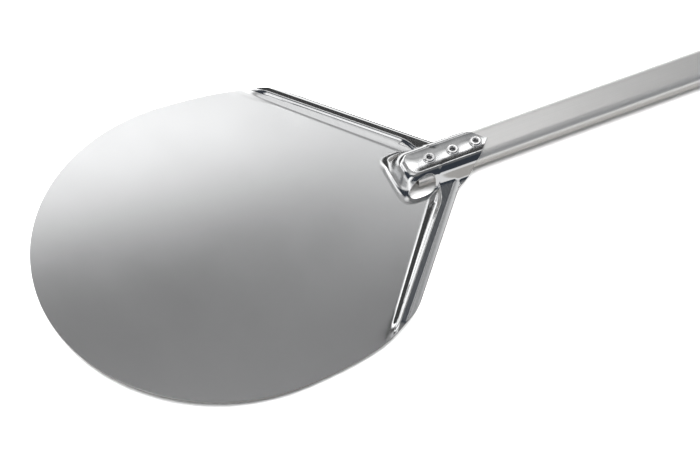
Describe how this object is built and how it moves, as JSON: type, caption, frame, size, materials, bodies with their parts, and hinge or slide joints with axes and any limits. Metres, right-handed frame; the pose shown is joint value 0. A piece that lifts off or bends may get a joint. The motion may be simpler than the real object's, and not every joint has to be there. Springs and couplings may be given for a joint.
{
  "type": "pizza turning peel",
  "caption": "Round pressed-steel pizza turning peel riveted to a flat-oval tube handle, with a sliding hand grip and a fixed end grip that has a hanging eye.",
  "frame": {"origin": "centre of the round head, on the flat underside of the blade", "axes": "+X along the handle away from the head, +Z out of the carrying face, mirrored left and right of Y = 0"},
  "size_m": [1.025, 0.23, 0.022],
  "materials": {
    "brushed_steel": "pressed stainless sheet, brushed across the handle, bright where it is drawn",
    "satin_tube": "satin stainless tube",
    "rivet_steel": "bright stainless blind rivet",
    "mandrel_steel": "dull broken mandrel",
    "black_polymer": "fine-grained moulded polymer"
  },
  "bodies": {
    "peel": {"blade": "brushed_steel", "handle_tube": "satin_tube", "neck_rivet_front": "rivet_steel", "neck_rivet_front_mandrel": "mandrel_steel", "neck_rivet_middle": "rivet_steel", "neck_rivet_middle_mandrel": "mandrel_steel", "neck_rivet_rear": "rivet_steel", "neck_rivet_rear_mandrel": "mandrel_steel", "end_grip": "black_polymer", "end_grip_rivet": "rivet_steel", "end_grip_rivet_mandrel": "mandrel_steel"},
    "slider": {"sliding_grip": "black_polymer"}
  },
  "joints": [
    {"name": "grip_slide", "type": "slide", "parent": "peel", "child": "slider", "axis": [1, 0, 0], "range_m": [-0.23, 0.223]}
  ]
}
